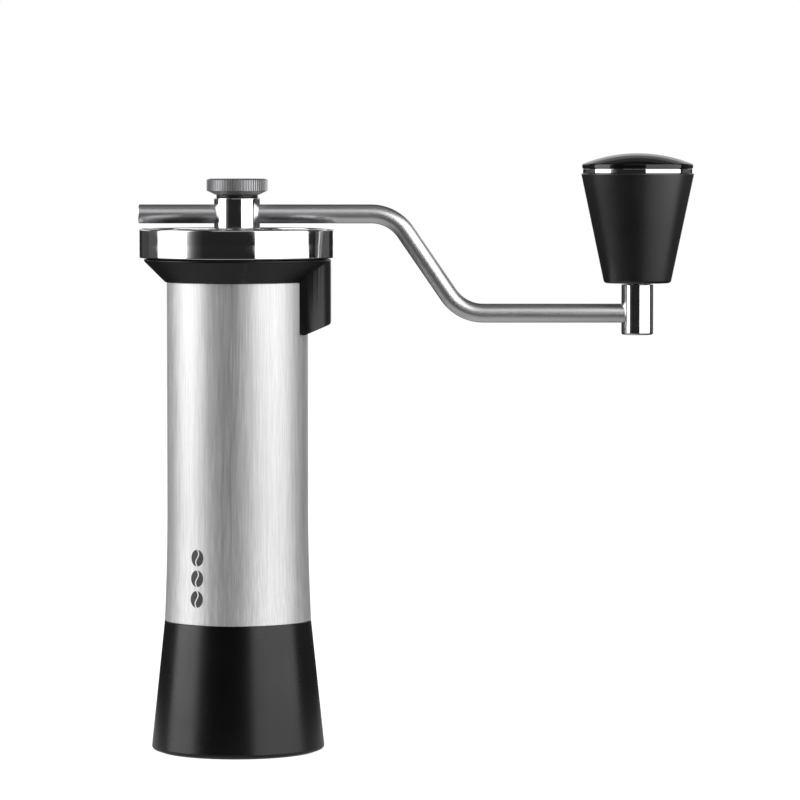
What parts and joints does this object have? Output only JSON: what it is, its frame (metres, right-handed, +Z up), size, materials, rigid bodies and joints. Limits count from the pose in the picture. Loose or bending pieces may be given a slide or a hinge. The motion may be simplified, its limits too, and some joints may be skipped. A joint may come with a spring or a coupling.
{
  "type": "hand crank coffee grinder",
  "caption": "Manual burr coffee grinder: flared black catch cup, brushed steel tube with thumb rest, polished top ring, open hopper, Z-shaped crank and tapered knob.",
  "frame": {"origin": "on the table, at the centre of the rubber foot's underside, on the axle's axis", "axes": "+Z up along the axle; +X towards the thumb rest and towards the crank knob at rest; +Y away from the side that shows the crank's Z shape with the knob on the right"},
  "size_m": [0.2331, 0.082, 0.2513],
  "materials": {
    "satin_black_metal": "satin black anodised",
    "black_plastic": "satin",
    "cap_plastic": "gloss black",
    "brushed_steel": "brushed along the tube",
    "polished_steel": "polished",
    "rod_steel": "satin",
    "turned_steel": "turned",
    "burr_steel": "ground tool steel",
    "spring_steel": "spring steel",
    "black_oxide": "black oxide",
    "aluminium": "machined",
    "anodised_black": "black anodised",
    "brass": "plain",
    "rubber": "matte"
  },
  "bodies": {
    "cup": {"catch_cup": "satin_black_metal", "cup_foot_pad": "rubber", "cup_magnets": "turned_steel"},
    "body": {"body_tube": "brushed_steel", "grip_collar": "black_plastic", "top_ring": "polished_steel", "upper_bridge": "aluminium", "bridge_screws": "turned_steel", "upper_bearing_outer_ring": "turned_steel", "upper_bearing_shields": "turned_steel", "lower_bridge": "aluminium", "lower_bearing_outer_ring": "turned_steel", "lower_bearing_shields": "turned_steel", "burr_housing": "aluminium", "guide_pins": "turned_steel", "ring_circlip": "black_oxide", "click_spring": "spring_steel", "carrier_spring": "spring_steel"},
    "axle": {"axle": "turned_steel", "axle_clip": "black_oxide", "hub_spacer": "turned_steel", "upper_bearing_inner_ring": "turned_steel", "lower_bearing_inner_ring": "turned_steel", "inner_burr": "burr_steel", "drive_pin": "turned_steel", "burr_washer": "turned_steel", "burr_bolt": "turned_steel"},
    "upper_balls": {"upper_bearing_balls": "turned_steel"},
    "lower_balls": {"lower_bearing_balls": "turned_steel"},
    "crank": {"crank_hub": "polished_steel", "crank_rod": "rod_steel", "crank_post": "polished_steel", "knob_spindle": "turned_steel", "knob_washer": "turned_steel", "knob_screw": "turned_steel"},
    "knob": {"knob_grip": "black_plastic", "knob_ring": "polished_steel", "knob_cap": "cap_plastic", "knob_bush_lower": "brass", "knob_bush_upper": "brass"},
    "lock_washer": {"lock_washer": "black_plastic"},
    "thumb_screw": {"thumb_screw": "rod_steel"},
    "adjuster": {"adjusting_ring": "anodised_black"},
    "carrier": {"burr_carrier": "aluminium", "outer_burr": "burr_steel", "burr_lock_ring": "black_oxide"},
    "click_ball": {"click_ball": "turned_steel"}
  },
  "joints": [
    {"name": "cup_release", "type": "slide", "parent": "cup", "child": "body", "axis": [0, 0, 1], "range_m": [0, 0.06]},
    {"name": "crank_turn", "type": "hinge", "parent": "body", "child": "axle", "pos_m": [0, 0, 0.2021], "axis": [0, 0, 1], "continuous": true},
    {"name": "upper_balls_roll", "type": "hinge", "parent": "body", "child": "upper_balls", "pos_m": [0, 0, 0.2101], "axis": [0, 0, 1], "continuous": true},
    {"name": "lower_balls_roll", "type": "hinge", "parent": "body", "child": "lower_balls", "pos_m": [0, 0, 0.0941], "axis": [0, 0, 1], "continuous": true},
    {"name": "crank_lift", "type": "slide", "parent": "axle", "child": "crank", "axis": [0, 0, 1], "range_m": [0, 0.02]},
    {"name": "knob_spin", "type": "hinge", "parent": "crank", "child": "knob", "pos_m": [0.168, 0, 0.2021], "axis": [0, 0, 1], "continuous": true},
    {"name": "thumb_screw_rise", "type": "slide", "parent": "crank", "child": "lock_washer", "axis": [0, 0, 1], "range_m": [0, 0.0085]},
    {"name": "thumb_screw_turn", "type": "hinge", "parent": "lock_washer", "child": "thumb_screw", "pos_m": [0, 0, 0.2371], "axis": [0, 0, 1], "range_deg": [0, 4320]},
    {"name": "adjuster_turn", "type": "hinge", "parent": "body", "child": "adjuster", "pos_m": [0, 0, 0.0471], "axis": [0, 0, 1], "range_deg": [-1081, 217]},
    {"name": "burr_travel", "type": "slide", "parent": "body", "child": "carrier", "axis": [0, 0, 1], "range_m": [-0.0003, 0.0015], "deforming": ["carrier_spring"]},
    {"name": "click_ball_drop", "type": "slide", "parent": "body", "child": "click_ball", "axis": [0, 0, -1], "range_m": [0, 0.0003], "stiffness_N_per_m": 50, "springref_m": 0.0003, "deforming": ["click_spring"]}
  ],
  "couplings": [
    {"joint": "upper_balls_roll", "follows": "crank_turn", "ratio": 0.368},
    {"joint": "lower_balls_roll", "follows": "crank_turn", "ratio": 0.368},
    {"joint": "thumb_screw_rise", "follows": "thumb_screw_turn", "m_per_rad": 0.00011141},
    {"joint": "adjuster_turn", "follows": "burr_travel", "rad_per_m": -12566}
  ]
}
